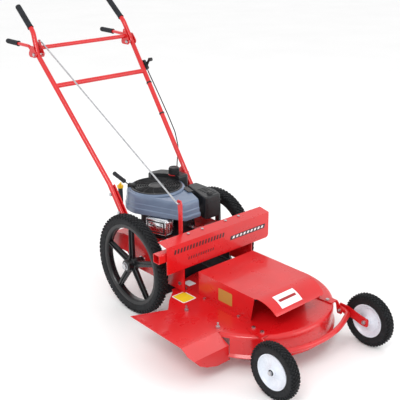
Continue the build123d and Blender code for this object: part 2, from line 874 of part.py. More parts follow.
cap_r = 27.0
with BuildPart() as fuel_cap:
    with BuildSketch(Plane.XY.offset(tank_top + gap)):
        with Locations(cap_xy):
            Circle(cap_r)
            with PolarLocations(cap_r, 12):
                Circle(2.2)
    extrude(amount=38)
    fillet(fuel_cap.faces().sort_by(Axis.Z)[-1].edges(), radius=1.5)
    with BuildSketch(Plane.XY.offset(tank_top)):
        with Locations(cap_xy):
            Circle(16 + gap)
    extrude(amount=16, mode=Mode.SUBTRACT)
save(fuel_cap.part, "fuel_cap")

with BuildPart() as dipstick:
    with BuildSketch(Plane.XY.offset(filler_top + gap)):
        with Locations(filler_xy):
            Circle(16)
    extrude(amount=12)
    with BuildSketch(Plane.XY.offset(filler_top + gap + 12)):
        with Locations(Location(filler_xy, 35)):
            RectangleRounded(28, 7, 3)
    extrude(amount=12)
    with BuildSketch(Plane.XY.offset(filler_top + gap)):
        with Locations(filler_xy):
            Circle(2.5)
    extrude(amount=-140)
save(dipstick.part, "dipstick")

grip_from = (-118.0, 269.0, 572.0)
pull_dir = (-0.12, 0.93, 0.34)
with BuildPart() as starter_grip:
    with BuildSketch(Plane(origin=grip_from, z_dir=pull_dir)):
        Circle(12)
    extrude(amount=88)
    fillet(starter_grip.edges().filter_by(GeomType.CIRCLE), radius=5)
save(starter_grip.part, "starter_grip")

# ---- crankshaft, pulleys and belts ----
with BuildPart() as crankshaft:
    with BuildSketch(Plane.XY.offset(242)):
        with Locations((0, engine_y)):
            Circle(crank_r)
    extrude(amount=266)
save(crankshaft.part, "crankshaft")

belt_half_w = 5.0
belt_half_t = 4.0
groove_depth = 5.0


def sheave(centre, pitch_r, belt_z, bore_r, hub_r, hub_z):
    """Grooved pulleys: one groove for each height in belt_z, and a hub between hub_z."""
    with BuildPart() as pulley:
        with BuildSketch(Plane.XY.offset(hub_z[0])):
            with Locations(centre):
                Circle(hub_r)
        extrude(amount=hub_z[1] - hub_z[0])
        for z in belt_z:
            with BuildSketch(Plane.XY.offset(z - belt_half_w - 3.5)):
                with Locations(centre):
                    Circle(pitch_r + groove_depth)
            extrude(amount=2 * belt_half_w + 7)
            with BuildSketch(Plane.XZ.offset(-centre[1])):
                with BuildLine():
                    Polyline(
                        (centre[0] + pitch_r - groove_depth, z - belt_half_w - 0.5),
                        (centre[0] + pitch_r + groove_depth, z - belt_half_w - 2.2),
                        (centre[0] + pitch_r + groove_depth, z + belt_half_w + 2.2),
                        (centre[0] + pitch_r - groove_depth, z + belt_half_w + 0.5),
                        close=True,
                    )
                make_face()
            revolve(axis=Axis((*centre, 0), (0, 0, 1)), mode=Mode.SUBTRACT)
        with BuildSketch(Plane.XY.offset(200)):
            with Locations(centre):
                Circle(bore_r)
        extrude(amount=140, mode=Mode.SUBTRACT)
    return pulley.part


def belt(first, first_r, second, second_r, z):
    """Closed belt round two pulleys, half a belt's thickness either side of the pitch line."""
    with BuildPart() as band:
        with BuildSketch(Plane.XY.offset(z - belt_half_w)):
            with Locations(first):
                Circle(first_r + belt_half_t)
            with Locations(second):
                Circle(second_r + belt_half_t)
            make_hull()
        extrude(amount=2 * belt_half_w)
        with BuildSketch(Plane.XY.offset(z - belt_half_w)):
            with Locations(first):
                Circle(first_r - belt_half_t)
            with Locations(second):
                Circle(second_r - belt_half_t)
            make_hull()
        extrude(amount=2 * belt_half_w, mode=Mode.SUBTRACT)
    return band.part


crank_xy = (0.0, engine_y)
spindle_xy = (0.0, deck_y)
gearbox_xy = (gearbox_x, gearbox_y)
crank_pitch_r = 50.0
spindle_pitch_r = 70.0
save(
    sheave(crank_xy, crank_pitch_r, (blade_belt_z, drive_belt_z), crank_r, 22, (256, 300)),
    "crank_pulleys",
)
save(sheave(spindle_xy, spindle_pitch_r, (blade_belt_z,), 10, 24, (254, 284)), "spindle_pulley")
save(belt(crank_xy, crank_pitch_r, spindle_xy, spindle_pitch_r, blade_belt_z), "blade_belt")
save(belt(crank_xy, crank_pitch_r, gearbox_xy, crank_pitch_r, drive_belt_z), "drive_belt")

# ---- blade spindle ----
with BuildPart() as spindle_housing:
    with BuildSketch(Plane.XY.offset(deck_top)):
        with Locations(spindle_xy):
            Circle(58)
            with PolarLocations(44, 4, 45):
                Circle(frame_bolt_r + fit_gap, mode=Mode.SUBTRACT)
    extrude(amount=8)
    with BuildSketch(Plane.XY.offset(122)):
        with Locations(spindle_xy):
            Circle(spindle_hole_r - 0.5)
    extrude(amount=124)
    with BuildSketch(Plane.XY.offset(122)):
        with Locations(spindle_xy):
            Circle(20)
    extrude(amount=124, mode=Mode.SUBTRACT)
    for z in (122, 232):
        with BuildSketch(Plane.XY.offset(z)):
            with Locations(spindle_xy):
                Circle(bearing_r)
        extrude(amount=14, mode=Mode.SUBTRACT)
save(spindle_housing.part, "spindle_housing")

with BuildPart() as ball_bearings:
    for z in (122, 232):
        with BuildSketch(Plane.XY.offset(z)):
            with Locations(spindle_xy):
                Circle(bearing_r)
                Circle(axle_r + running, mode=Mode.SUBTRACT)
        extrude(amount=14)
    for x in (-side_x, side_x):
        with BuildSketch(Plane.YZ.offset(x - 7)):
            with Locations((0, axle_z)):
                Circle(bearing_r)
                Circle(axle_r + running, mode=Mode.SUBTRACT)
        extrude(amount=14)
save(ball_bearings.part, "ball_bearings")

blade_z = 96.0
with BuildPart() as spindle_shaft:
    with BuildSketch(Plane.XY.offset(blade_z + 6)):
        with Locations(spindle_xy):
            Circle(24)
    extrude(amount=14)
    with BuildSketch(Plane.XY.offset(blade_z + 6)):
        with Locations(spindle_xy):
            Circle(axle_r)
    extrude(amount=188)
    with BuildSketch(Plane.XY.offset(blade_z + 6)):
        with Locations(spindle_xy):
            Circle(7)
    extrude(amount=26, mode=Mode.SUBTRACT)
    with BuildSketch(Plane.XY.offset(284)):
        with Locations(spindle_xy):
            RegularPolygon(14, 6)
    extrude(amount=10)
save(spindle_shaft.part, "spindle_shaft")

with BuildPart() as blade:
    with BuildSketch(Plane.XY.offset(blade_z)):
        with Locations(spindle_xy):
            RectangleRounded(2 * blade_r, 62, 6)
            Circle(7.2, mode=Mode.SUBTRACT)
    extrude(amount=6)
    # lift wings behind both cutting edges
    for side in (-1, 1):
        with BuildSketch(Plane.YZ.offset(side * (blade_r - 96) - 40)):
            with BuildLine():
                Polyline(
                    (deck_y + side * 31, blade_z), (deck_y + side * 31, blade_z + 6),
                    (deck_y + side * 46, blade_z + 28), (deck_y + side * 50, blade_z + 25),
                    (deck_y + side * 36, blade_z), close=True,
                )
            make_face()
        extrude(amount=80)
save(blade.part, "blade")

with BuildPart() as blade_bolt:
    with BuildSketch(Plane.XY.offset(blade_z)):
        with Locations(spindle_xy):
            Circle(18)
    extrude(amount=-3)
    with BuildSketch(Plane.XY.offset(blade_z - 3)):
        with Locations(spindle_xy):
            RegularPolygon(12, 6)
    extrude(amount=-10)
    with BuildSketch(Plane.XY.offset(blade_z)):
        with Locations(spindle_xy):
            Circle(7)
    extrude(amount=32)
save(blade_bolt.part, "blade_bolt")

# ---- drive gearbox on the rear axle ----
input_r = 8.0
with BuildPart() as gearbox:
    with BuildSketch(Plane.XY.offset(226)):
        with Locations((gearbox_x, -26)):
            RectangleRounded(80, 96, 12)
    extrude(amount=50)
    fillet(gearbox.edges().group_by(Axis.Z)[-1], radius=5)
    with BuildSketch(Plane.YZ.offset(gearbox_x + 38)):
        with Locations((-44, 246)):
            RectangleRounded(36, 30, 4)
    extrude(amount=plate_half - gearbox_x - 38)
    with BuildSketch(Plane.YZ.offset(gearbox_x - 60)):
        with Locations((0, axle_z)):
            Circle(axle_r + running)
    extrude(amount=160, mode=Mode.SUBTRACT)
    with BuildSketch(Plane.XY.offset(276)):
        with Locations(gearbox_xy):
            Circle(input_r + running)
    extrude(amount=-42, mode=Mode.SUBTRACT)
save(gearbox.part, "gearbox")

with BuildPart() as gearbox_pulley:
    add(sheave(gearbox_xy, crank_pitch_r, (drive_belt_z,), input_r - 0.5, 18, (278, 300)))
    with BuildSketch(Plane.XY.offset(236)):
        with Locations(gearbox_xy):
            Circle(input_r)
    extrude(amount=68)
save(gearbox_pulley.part, "gearbox_pulley")

# ---- rear axle and wheels ----
wheel_out = rear_track / 2 + 42
hub_in = side_x + 12
with BuildPart() as rear_axle:
    with BuildSketch(Plane.YZ.offset(-wheel_out - 12)):
        with Locations((0, axle_z)):
            Circle(axle_r)
    extrude(amount=2 * wheel_out + 24)
save(rear_axle.part, "rear_axle")

rim_out = 206.0
rim_in = 186.0
spoke_count = 5
with BuildPart() as rear_rim:
    with BuildSketch(Plane.YZ.offset(hub_in)):
        with Locations((0, axle_z)):
            Circle(30)
    extrude(amount=wheel_out - hub_in)
    with BuildSketch(Plane.YZ.offset(rear_track / 2 - 20)):
        with Locations((0, axle_z)):
            Circle(rim_out)
            Circle(rim_in, mode=Mode.SUBTRACT)
    extrude(amount=40)
    with BuildSketch(Plane.YZ.offset(rear_track / 2 - 6)):
        for index in range(spoke_count):
            with Locations(Location((0, axle_z), 90 + 360 / spoke_count * index)):
                Polygon((22, -18), (rim_in + 3, -11), (rim_in + 3, 11), (22, 18), align=None)
    extrude(amount=16)
    with BuildSketch(Plane.YZ.offset(0)):
        with Locations((0, axle_z)):
            Circle(axle_r)
    extrude(amount=400, mode=Mode.SUBTRACT)
save(both_sides(rear_rim.part), "rear_rims")


def tyre(centre, outer_r, inner_r, width, shoulder):
    with BuildPart() as ring:
        with BuildSketch(Plane.XZ.offset(-centre[1])):
            with Locations((centre[0], centre[2] + (outer_r + inner_r) / 2)):
                RectangleRounded(width, outer_r - inner_r, shoulder)
            with Locations((centre[0], centre[2] + inner_r + 6)):
                Rectangle(width - 12, 12)
        revolve(axis=Axis(centre, (1, 0, 0)))
    return ring.part


rear_centre = (rear_track / 2, 0, axle_z)
save(both_sides(tyre(rear_centre, rear_wheel_r, rim_out, rear_tyre_w, 17)), "rear_tyres")

with BuildPart() as axle_nut:
    with BuildSketch(Plane.YZ.offset(wheel_out)):
        with Locations((0, axle_z)):
            Circle(20)
    extrude(amount=2.5)
    with BuildSketch(Plane.YZ.offset(wheel_out + 2.5)):
        with Locations((0, axle_z)):
            RegularPolygon(16, 6)
    extrude(amount=9)
    with BuildSketch(Plane.YZ.offset(wheel_out)):
        with Locations((0, axle_z)):
            Circle(axle_r)
    extrude(amount=13, mode=Mode.SUBTRACT)
save(both_sides(axle_nut.part), "axle_nuts")

# ---- front wheels ----
front_rim_r = 79.0
front_hub_in = arm_x + arm_t + 1.2
front_hub_out = front_track / 2 + 24
front_centre = (front_track / 2, -wheelbase, front_wheel_r)
with BuildPart() as front_rim:
    with BuildSketch(Plane.XZ.offset(wheelbase)):
        with BuildLine():
            Polyline(
                (front_hub_in, front_wheel_r + front_axle_r + running),
                (front_hub_in, front_wheel_r + 19),
                (front_track / 2 - 6, front_wheel_r + 19),
                (front_track / 2 + 4, front_wheel_r + 34),
                (front_track / 2 + 2, front_wheel_r + 62),
                (front_track / 2 - 18, front_wheel_r + 70),
                (front_track / 2 - 20, front_wheel_r + front_rim_r),
                (front_track / 2 + 20, front_wheel_r + front_rim_r),
                (front_track / 2 + 18, front_wheel_r + 70),
                (front_track / 2 + 8, front_wheel_r + 62),
                (front_track / 2 + 9, front_wheel_r + 34),
                (front_track / 2 + 14, front_wheel_r + 19),
                (front_hub_out, front_wheel_r + 19),
                (front_hub_out, front_wheel_r + front_axle_r + running),
                close=True,
            )
        make_face()
    revolve(axis=Axis(front_centre, (1, 0, 0)))
save(front_rim.part, "front_rim_left")
save(mirrored(front_rim.part), "front_rim_right")
front_tyre = tyre(front_centre, front_wheel_r, front_rim_r, front_tyre_w, 14)
save(front_tyre, "front_tyre_left")
save(mirrored(front_tyre), "front_tyre_right")

with BuildPart() as front_axle_bolt:
    add(
        bolt_set(
            [((front_hub_out + 1.2, -wheelbase, front_wheel_r), (1, 0, 0), front_hub_out + 1.2 - arm_x)],
            front_axle_r, 18, 8,
        )
    )
save(both_sides(front_axle_bolt.part), "front_axle_bolts")

# ---- fasteners that stay with the frame ----
arm_out = arm_x + arm_t
yoke_pivot_grip = arm_out - cheek_x
frame_places = []
for side in (-1, 1):
    outer = (side, 0, 0)
    for (y, z), lean in ((low_bolt, 0.8), (top_bolt, 2.1)):
        head_x = handle_x + handle_r + lean
        frame_places.append(((side * head_x, y, z), outer, 2 * handle_r + side_t + lean))
    frame_places.append(((side * (side_x + side_t / 2), -292, 236), outer, side_t + 5))
    frame_places.append(((side * arm_out, *pivot_yz), outer, yoke_pivot_grip))
for x, y in bracket_bolt_xy:
    frame_places.append(((x, y, deck_top + 5), (0, 0, 1), 5 + sheet))
for x, y in yoke_bolt_xy:
    frame_places.append(((x, y, deck_top + 5), (0, 0, 1), 5 + sheet))
for turn in (45, 135, 225, 315):
    spot = (44 * math.cos(math.radians(turn)), deck_y + 44 * math.sin(math.radians(turn)), deck_top + 8)
    frame_places.append((spot, (0, 0, 1), 8 + sheet))
save(bolt_set(frame_places, frame_bolt_r, 16, 6.5), "frame_bolts")

cover_places = [((x, y, deck_top + hood_t), (0, 0, 1), hood_t + sheet) for x, y in hood_bolt_xy]
cover_places += [((x, dash_mid_y, dash_bolt_z), dash_up, sheet + 0.2) for x in dash_bolt_x]
for turn in (90, 210, 330):
    angle = math.radians(turn + engine_turn)
    spot = (92 * math.cos(angle), engine_y + 92 * math.sin(angle), engine_plate_z + 12)
    cover_places.append((spot, (0, 0, 1), 12 + 5))
save(bolt_set(cover_places, small_bolt_r, 13, 5), "cover_bolts")

pivot_places = []
for side in (-1, 1):
    pivot_places.append(
        ((side * (lug_out + lug_t + gap), bail_y, bail_z), (side, 0, 0), lug_out - lug_in + lug_t + 2 * gap)
    )
pivot_places.append(((post_x - gap, *post_pivot), (-1, 0, 0), post_t + 4 + 2 * gap))
save(bolt_set(pivot_places, frame_bolt_r, 16, 6.5), "pivot_bolts")
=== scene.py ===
"""Looks of the walk-behind brush mower.

Its CAD parts get their finishes here, and its tyres, wheels, grips, engine covers and stickers their detail.
"""

import json
import math

import bpy
from mathutils import Matrix, Vector


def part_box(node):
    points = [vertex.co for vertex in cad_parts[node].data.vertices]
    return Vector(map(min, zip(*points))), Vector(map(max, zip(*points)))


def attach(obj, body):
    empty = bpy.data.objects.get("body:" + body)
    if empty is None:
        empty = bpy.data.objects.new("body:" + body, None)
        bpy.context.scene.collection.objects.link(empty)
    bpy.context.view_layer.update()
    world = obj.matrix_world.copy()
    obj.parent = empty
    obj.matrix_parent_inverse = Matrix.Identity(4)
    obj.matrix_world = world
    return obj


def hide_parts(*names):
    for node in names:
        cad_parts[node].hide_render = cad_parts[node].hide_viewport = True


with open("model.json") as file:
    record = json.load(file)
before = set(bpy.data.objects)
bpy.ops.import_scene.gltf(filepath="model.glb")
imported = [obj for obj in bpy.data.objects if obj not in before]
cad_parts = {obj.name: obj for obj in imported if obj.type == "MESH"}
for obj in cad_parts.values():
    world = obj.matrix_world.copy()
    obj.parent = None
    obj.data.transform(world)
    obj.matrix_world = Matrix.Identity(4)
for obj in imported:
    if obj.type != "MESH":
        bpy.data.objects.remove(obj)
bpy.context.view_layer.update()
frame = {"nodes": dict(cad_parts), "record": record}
nodes = frame["nodes"]
MM = 0.001
CRANK_Y = 157 * MM  # the engine's upright shaft stands this far behind the rear axle
ENGINE_TURN = math.radians(16.7)  # the cylinder and the exhaust are turned this far round that shaft


# ---------------------------------------------------------------- studio
def studio():
    """The camera, a white surround and three soft lamps; the pale floor is laid at the end of the script."""
    camera_data = bpy.data.cameras.new("camera")
    camera_data.lens = 70.5
    camera_data.sensor_width = 36.0
    camera_data.clip_end = 50.0
    camera = bpy.data.objects.new("camera", camera_data)
    bpy.context.scene.collection.objects.link(camera)
    azimuth, elevation, roll = (math.radians(a) for a in (-41.4, 20.73, -0.44))
    turn = Matrix.Rotation(azimuth, 4, "Z") @ Matrix.Rotation(math.pi / 2 - elevation, 4, "X")
    camera.matrix_world = Matrix.Translation((-2.347, -2.843, 1.909)) @ turn @ Matrix.Rotation(roll, 4, "Z")
    bpy.context.scene.camera = camera

    world = bpy.data.worlds.new("white_surround")
    bpy.context.scene.world = world
    world.use_nodes = True
    sky = world.node_tree.nodes["Background"]
    sky.inputs["Color"].default_value = (1.0, 1.0, 1.0, 1.0)
    sky.inputs["Strength"].default_value = 1.0
    bpy.context.scene.view_settings.view_transform = "Standard"

    # (name, place, size, watts): a large key on the camera's side, a fill and a rim lamp behind
    for name, place, size, watts in (
        ("key_lamp", (-3.2, -2.6, 4.2), 1.8, 95),
        ("fill_lamp", (2.0, -3.8, 1.8), 2.4, 34),
        ("rim_lamp", (1.5, 3.6, 3.4), 2.2, 20),
    ):
        lamp_data = bpy.data.lights.new(name, "AREA")
        lamp_data.size = size
        lamp_data.energy = watts
        lamp = bpy.data.objects.new(name, lamp_data)
        bpy.context.scene.collection.objects.link(lamp)
        lamp.location = place
        lamp.rotation_euler = (Vector((0, -0.2, 0.4)) - Vector(place)).to_track_quat("-Z", "Y").to_euler()


# ---------------------------------------------------------------- finishes
def linear(colour):
    """The shader's linear RGBA from an sRGB hex string."""
    channels = [int(colour[i:i + 2], 16) / 255 for i in (1, 3, 5)]
    return [c / 12.92 if c <= 0.04045 else ((c + 0.055) / 1.055) ** 2.4 for c in channels] + [1.0]


def add_node(tree, kind, links=(), **settings):
    """Adds a node: settings name its properties or inputs, links are (input, other node's output)."""
    node = tree.nodes.new(kind)
    for name, value in settings.items():
        if name in node.inputs:
            node.inputs[name].default_value = value
        else:
            setattr(node, name, value)
    for name, output in links:
        tree.links.new(output, node.inputs[name])
    return node


def new_finish(name, tones, gloss, patch=0.03, grain=None, **sockets):
    """A material: two sRGB tones and two roughnesses that drift over patches of the given size in metres.

    grain is the size and depth in metres and the strength of its relief, and constant values go on the
    shader's own sockets.
    """
    finish = bpy.data.materials.new(name)
    finish.use_nodes = True
    tree = finish.node_tree
    shader = tree.nodes["Principled BSDF"]
    for socket, value in sockets.items():
        shader.inputs[socket.replace("_", " ")].default_value = value
    place = add_node(tree, "ShaderNodeTexCoord").outputs["Object"]
    tint = add_node(
        tree, "ShaderNodeTexNoise", [("Vector", place)], Scale=1 / patch, Detail=3.0, Roughness=0.55
    )
    tone = add_node(tree, "ShaderNodeValToRGB", [("Fac", tint.outputs["Fac"])])
    for element, position, colour in zip(tone.color_ramp.elements, (0.3, 0.7), tones):
        element.position = position
        element.color = linear(colour)
    tree.links.new(tone.outputs["Color"], shader.inputs["Base Color"])
    wear = add_node(
        tree, "ShaderNodeTexNoise", [("Vector", place)], Scale=2.3 / patch, Detail=3.0, Roughness=0.55
    )
    shine = add_node(
        tree, "ShaderNodeMapRange", [("Value", wear.outputs["Fac"])],
        **{"From Min": 0.3, "From Max": 0.7, "To Min": gloss[0], "To Max": gloss[1]},
    )
    tree.links.new(shine.outputs["Result"], shader.inputs["Roughness"])
    if grain:
        size, depth, strength = grain
        skin = add_node(
            tree, "ShaderNodeTexNoise", [("Vector", place)], Scale=1 / size, Detail=1.0, Roughness=0.55
        )
        bump = add_node(
            tree, "ShaderNodeBump", [("Height", skin.outputs["Fac"])], Distance=depth, Strength=strength
        )
        tree.links.new(bump.outputs["Normal"], shader.inputs["Normal"])
    return finish


studio()
# Baked alkyd enamel on pressed steel: glossy and deep, with cleaner and duller patches a hand wide.
# Its orange peel is about 1 mm across, drawn at 4 mm so that it shows.
RED = new_finish(
    "red_baked_enamel", ("#C50D13", "#D41419"), (0.24, 0.36), 0.20, (0.004, 0.0001, 0.1),
    IOR=1.5, Coat_Weight=0.35, Coat_Roughness=0.08,
)
# Semi-gloss enamel on the engine's pressed cover: cool and soft, its wide highlights a little broken by dust.
GREY = new_finish(
    "blue_grey_enamel", ("#64748D", "#708098"), (0.3, 0.42), 0.07, (0.002, 0.0001, 0.2),
    IOR=1.5, Coat_Weight=0.25, Coat_Roughness=0.15,
)
# Satin heat paint on castings: near black and a little dusty, with the 3 mm bumps of the cast skin under it.
BLACK_PAINT = new_finish(
    "black_heat_paint", ("#15171B", "#24272C"), (0.42, 0.62), 0.03, (0.003, 0.0003, 0.4), IOR=1.48
)
# Baked enamel on pressed rims: clean, cool white with a hard gloss.
WHITE = new_finish(
    "white_baked_enamel", ("#D4DAE4", "#E0E4EC"), (0.22, 0.34), 0.05,
    IOR=1.5, Coat_Weight=0.3, Coat_Roughness=0.1,
)
# Moulded polypropylene from polished tools: bright yellow, smooth, with a soft plastic gloss.
YELLOW = new_finish(
    "yellow_moulded_polypropylene", ("#D9A90F", "#F0C81E"), (0.3, 0.42), 0.04, (0.0015, 0.0001, 0.35),
    IOR=1.49,
)
# Glass-filled nylon from spark-eroded tools: charcoal, its highlights spread by the tool's grain.
# That grain is about 0.3 mm, drawn at 1.5 mm so that it shows.
PLASTIC = new_finish(
    "black_grained_nylon", ("#0E0F12", "#181A1E"), (0.38, 0.5), 0.04, (0.0015, 0.0004, 0.35), IOR=1.53
)
# Moulded polypropylene wheels, nearly smooth: black, with a satin sheen along the ribs.
SPOKE = new_finish(
    "black_satin_polypropylene", ("#0A0B0D", "#131418"), (0.26, 0.38), 0.04, (0.0015, 0.0001, 0.35), IOR=1.49
)
# Vulcanised tyre rubber, moulded: dull and very dark, greyed in patches by a dry bloom.
TREAD = new_finish(
    "moulded_tyre_rubber", ("#0A0B0D", "#191B1F"), (0.58, 0.78), 0.025, (0.0016, 0.0003, 0.4),
    IOR=1.52, Specular_IOR_Level=0.3,
)
# Soft moulded vinyl grips and boots: charcoal, duller than the hard plastics.
GRIP = new_finish(
    "moulded_grip_vinyl", ("#15171B", "#25282E"), (0.55, 0.75), 0.025, (0.0016, 0.0003, 0.4),
    IOR=1.52, Specular_IOR_Level=0.3,
)
# Cloth-backed neoprene of the belts: matt black with a faint fabric roughness.
BELT = new_finish(
    "neoprene_belting", ("#141416", "#26262A"), (0.62, 0.8), 0.02, (0.0016, 0.0003, 0.5),
    IOR=1.52, Specular_IOR_Level=0.3,
)
# Zinc-plated steel fasteners and rods: bright and cool, clouded by handling.
ZINC = new_finish("zinc_plated_steel", ("#A9ABAF", "#D2D3D6"), (0.22, 0.4), 0.012, Metallic=1.0)
# Die-cast aluminium: pale, half matt, with a slightly rough cast skin.
ALLOY = new_finish(
    "die_cast_aluminium", ("#8E9196", "#B4B6BA"), (0.38, 0.58), 0.014, (0.002, 0.0001, 0.3), Metallic=1.0
)
# Oiled bare steel of blade and shafts: dark grey with a wet shine.
OILED = new_finish("oiled_bare_steel", ("#4A4C50", "#6E7075"), (0.3, 0.5), 0.012, Metallic=1.0)
# Sand-cast iron of pulleys and drum: dark, dull, with a coarse skin.
IRON = new_finish(
    "sand_cast_iron", ("#34363A", "#55575C"), (0.5, 0.7), 0.012, (0.0025, 0.0002, 0.4), Metallic=1.0
)
# Chromium plate on the exhaust's case: a clear mirror, faintly dulled where it gets hot.
CHROME = new_finish("chromium_plate", ("#D6D9DF", "#F6F8FA"), (0.16, 0.3), 0.012, Metallic=1.0)
# Printed vinyl stickers and a foil plate: flat, even tones with a thin gloss, a little faded in patches.
WHITE_PRINT, YELLOW_PRINT, BLACK_PRINT, GOLD_PRINT, RED_PRINT = (
    new_finish(name, tones, (0.35, 0.45), 0.02, IOR=1.46)
    for name, tones in (
        ("white_printed_vinyl", ("#E9E9EB", "#F2F2F4")), ("yellow_printed_vinyl", ("#EACA2D", "#F4D21E")),
        ("black_printed_vinyl", ("#29292C", "#17181C")), ("gold_printed_foil", ("#B38742", "#B98A3C")),
        ("red_printed_vinyl", ("#9F282B", "#A3141B")),
    )
)
FINISHES = {
    "red_enamel": RED, "housing_grey": GREY, "black_enamel": BLACK_PAINT, "white_enamel": WHITE,
    "black_plastic": PLASTIC, "spoke_plastic": SPOKE, "cast_alloy": ALLOY, "zinc_steel": ZINC,
    "dark_steel": OILED, "chrome_plate": CHROME, "iron": IRON, "tread_rubber": TREAD,
    "grip_rubber": GRIP, "belt_rubber": BELT, "yellow_plastic": YELLOW,
}
for entry in frame["record"]["subparts"]:
    node = nodes[entry["node"]]
    node.data.materials.clear()
    node.data.materials.append(FINISHES[entry["material_slot"]])


# ---------------------------------------------------------------- modelling aids
SMOOTH_BELOW = math.radians(32)  # edges flatter than this are shaded smooth


def begin(primitive, **settings):
    """Adds one primitive with nothing else selected and opens it in edit mode."""
    bpy.ops.object.select_all(action="DESELECT")
    primitive(**settings)
    bpy.ops.object.mode_set(mode="EDIT")
    return bpy.context.object


def begin_point(place):
    """Opens a mesh of one single vertex, to be drawn on by extruding."""
    piece = begin(bpy.ops.mesh.primitive_plane_add, size=0.001, location=place)
    bpy.ops.mesh.merge(type="CENTER")
    return piece


def draw_line(points):
    """Extrudes the selected vertex through the rest of the points."""
    for here, there in zip(points, points[1:]):
        step = Vector(there) - Vector(here)
        bpy.ops.mesh.extrude_vertices_move(TRANSFORM_OT_translate={"value": step})


def close(piece):
    """Leaves edit mode with doubles merged, normals outwards and the place in the mesh."""
    bpy.ops.mesh.select_all(action="SELECT")
    bpy.ops.mesh.remove_doubles(threshold=0.00002)
    bpy.ops.mesh.normals_make_consistent(inside=False)
    bpy.ops.object.mode_set(mode="OBJECT")
    bpy.ops.object.transform_apply(location=True, rotation=True, scale=True)
    return piece


def pick(*pieces):
    """Selects these pieces and nothing else; the first is the active one."""
    bpy.ops.object.select_all(action="DESELECT")
    for piece in pieces:
        piece.select_set(True)
    bpy.context.view_layer.objects.active = pieces[0]


def apply(piece, kind, **settings):
    """Adds a modifier and applies it."""
    modifier = piece.modifiers.new(kind.lower(), kind)
    for name, value in settings.items():
        setattr(modifier, name, value)
    pick(piece)
    bpy.ops.object.modifier_apply(modifier=modifier.name)
    return piece


def settle(piece, name, body, finish, slot, *replaced):
    """Names a finished piece, gives it its finish and hangs it on its body."""
    pick(piece)
    bpy.ops.object.shade_smooth_by_angle(angle=SMOOTH_BELOW)
    piece.name = name
    piece.data.name = name
    piece.data.materials.clear()
    piece.data.materials.append(finish)
    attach(piece, body)
    if replaced:
        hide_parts(*replaced)
    return piece


def lathe(profile, centre, axis, steps=72, closed=False):
    """A turned piece: profile points (along the axis, radius) are drawn and spun about the axis."""
    centre, axis = Vector(centre), Vector(axis).normalized()
    out = axis.orthogonal().normalized()
    points = [centre + axis * along + out * max(radius, 0.00001) for along, radius in profile]
    if closed:
        points.append(points[0])
    piece = begin_point(points[0])
    draw_line(points)
    bpy.ops.mesh.select_all(action="SELECT")
    bpy.ops.mesh.spin(steps=steps, angle=2 * math.pi, center=centre, axis=axis)
    return close(piece)


def cut_plate(outline, depth):
    """A flat piece: its outline's corner points are drawn, filled and given a thickness along depth."""
    piece = begin_point(outline[0])
    draw_line(list(outline))
    bpy.ops.mesh.select_all(action="SELECT")
    bpy.ops.mesh.edge_face_add()
    bpy.ops.mesh.extrude_region_move(TRANSFORM_OT_translate={"value": Vector(depth)})
    return close(piece)


def repeat(piece, count, centre, axis):
    """Copies the piece's mesh round an axis, count places in all."""
    pick(piece)
    bpy.ops.object.mode_set(mode="EDIT")
    bpy.ops.mesh.select_all(action="SELECT")
    bpy.ops.mesh.spin(steps=count, dupli=True, angle=2 * math.pi, center=centre, axis=axis)
    return close(piece)


def join(pieces):
    """Makes one piece of several."""
    pick(*pieces)
    bpy.ops.object.join()
    return pieces[0]


def put(piece, place):
    """Moves a piece to its place and writes the place into its mesh."""
    piece.matrix_world = place
    pick(piece)
    bpy.ops.object.transform_apply(location=True, rotation=True, scale=True)
    return piece


def select_where(piece, test):
    """In edit mode, selects only the vertices whose place passes the test."""
    bpy.ops.mesh.select_mode(type="VERT")
    bpy.ops.mesh.select_all(action="DESELECT")
    bpy.ops.object.mode_set(mode="OBJECT")
    for corner in piece.data.vertices:
        corner.select = test(corner.co)
    bpy.ops.object.mode_set(mode="EDIT")


def block(size, place, bevel=0.001, segments=2, taper=1.0):
    """A block with rounded edges, its top drawn in by taper; place is a point or a matrix."""
    piece = begin(bpy.ops.mesh.primitive_cube_add, size=1, location=(0, 0, 0))
    bpy.ops.transform.resize(value=size)
    select_where(piece, lambda corner: corner.z > 0)
    bpy.ops.transform.resize(value=(taper, taper, 1), center_override=(0.0, 0.0, 0.0))
    bpy.ops.object.mode_set(mode="OBJECT")
    if bevel:
        apply(piece, "BEVEL", width=bevel, segments=segments)
    return put(piece, place if isinstance(place, Matrix) else Matrix.Translation(place))


